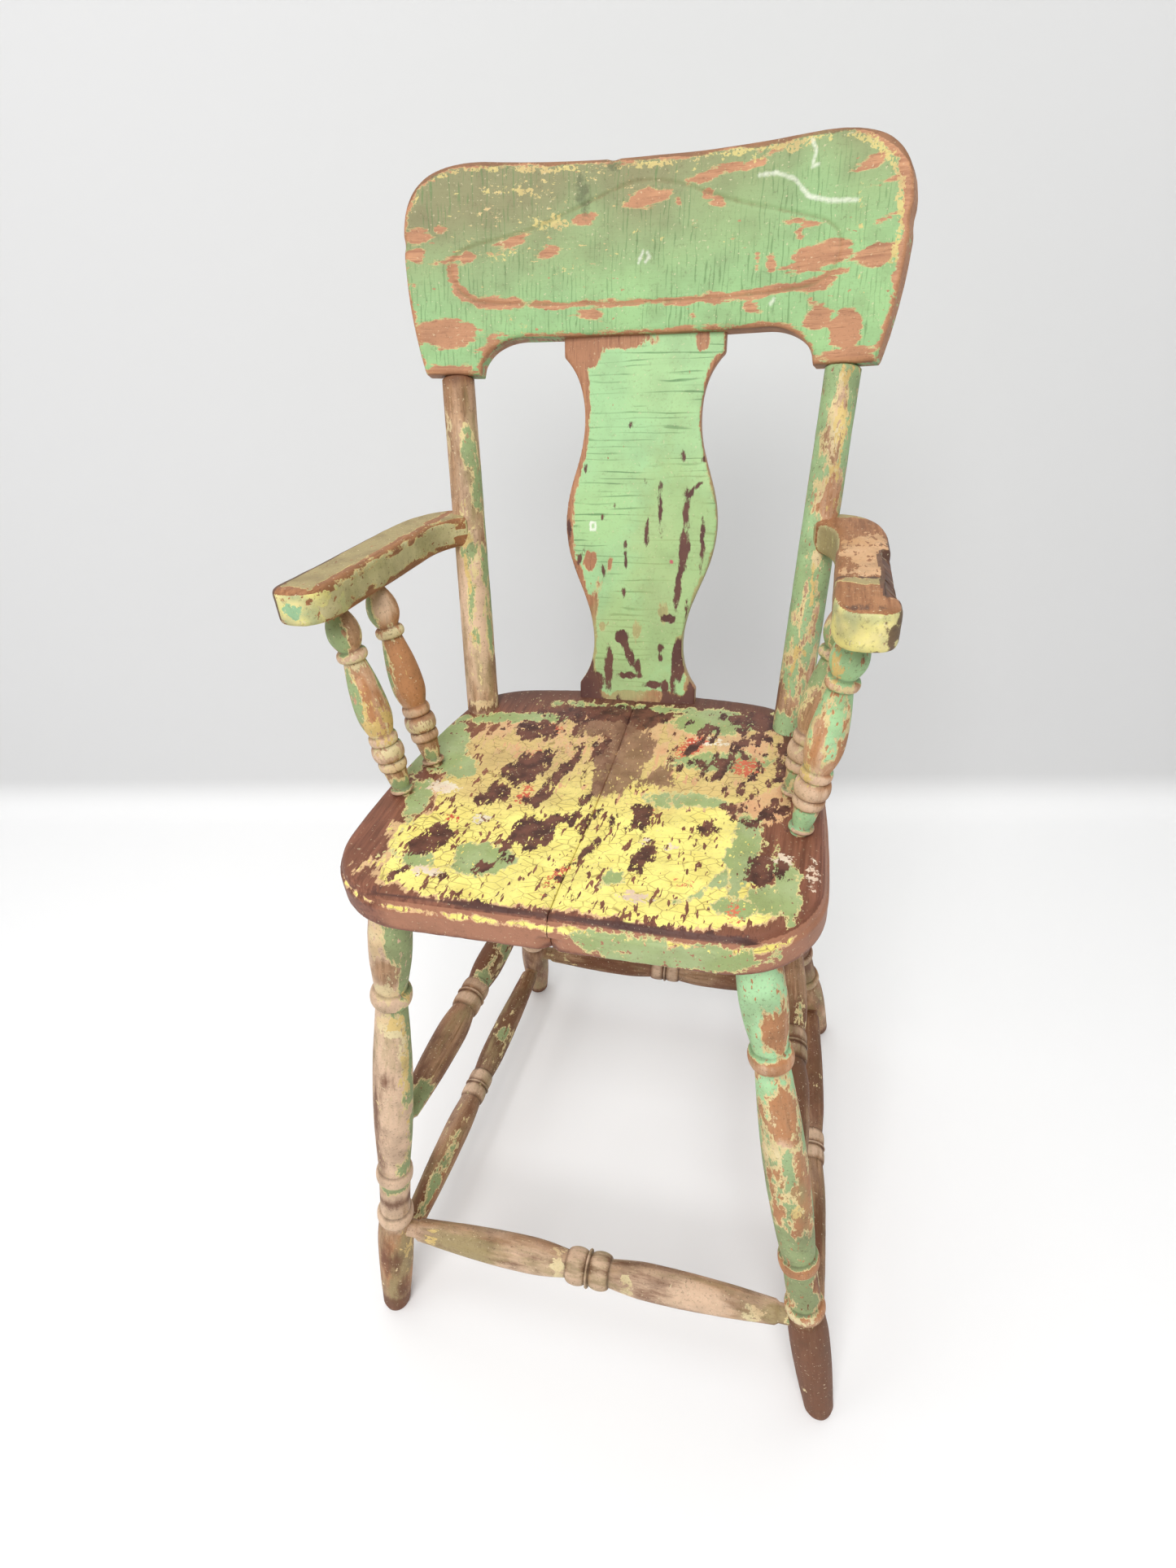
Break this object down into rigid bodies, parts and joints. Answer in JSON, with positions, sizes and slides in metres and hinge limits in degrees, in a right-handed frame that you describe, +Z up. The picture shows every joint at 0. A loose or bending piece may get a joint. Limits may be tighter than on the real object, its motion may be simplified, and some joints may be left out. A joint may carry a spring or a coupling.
{
  "type": "child's high armchair with peeling paint",
  "caption": "Old wooden child's high armchair with a plank seat, turned splayed legs and stretchers, sawn arms on spindles, vase splat and bowed crest, worn and peeling.",
  "frame": {"origin": "on the floor, under the middle of the chair's width and depth", "axes": "+Z up; the chair faces -Y; +X is to the right of someone who looks at the chair from the front"},
  "size_m": [0.4272, 0.4396, 0.9072],
  "materials": {
    "seat_paint": "yellow paint worn through to older coats and bare brown wood",
    "green_paint": "crackled green paint with bare patches",
    "arm_paint": "olive and cream paint rubbed off along the edges",
    "worn_wood": "bare weathered wood with traces of old paint"
  },
  "bodies": {
    "root": {"seat_board_left": "seat_paint", "seat_board_right": "seat_paint", "front_left_leg": "green_paint", "front_right_leg": "green_paint", "rear_left_leg": "worn_wood", "rear_right_leg": "worn_wood", "front_stretcher": "worn_wood", "rear_stretcher": "worn_wood", "left_low_stretcher": "worn_wood", "left_high_stretcher": "worn_wood", "right_low_stretcher": "worn_wood", "right_high_stretcher": "worn_wood", "left_back_post": "worn_wood", "right_back_post": "worn_wood", "back_splat": "green_paint", "crest_rail": "green_paint", "left_arm": "arm_paint", "right_arm": "arm_paint", "left_front_spindle": "arm_paint", "left_rear_spindle": "arm_paint", "right_front_spindle": "arm_paint", "right_rear_spindle": "arm_paint"}
  },
  "joints": []
}
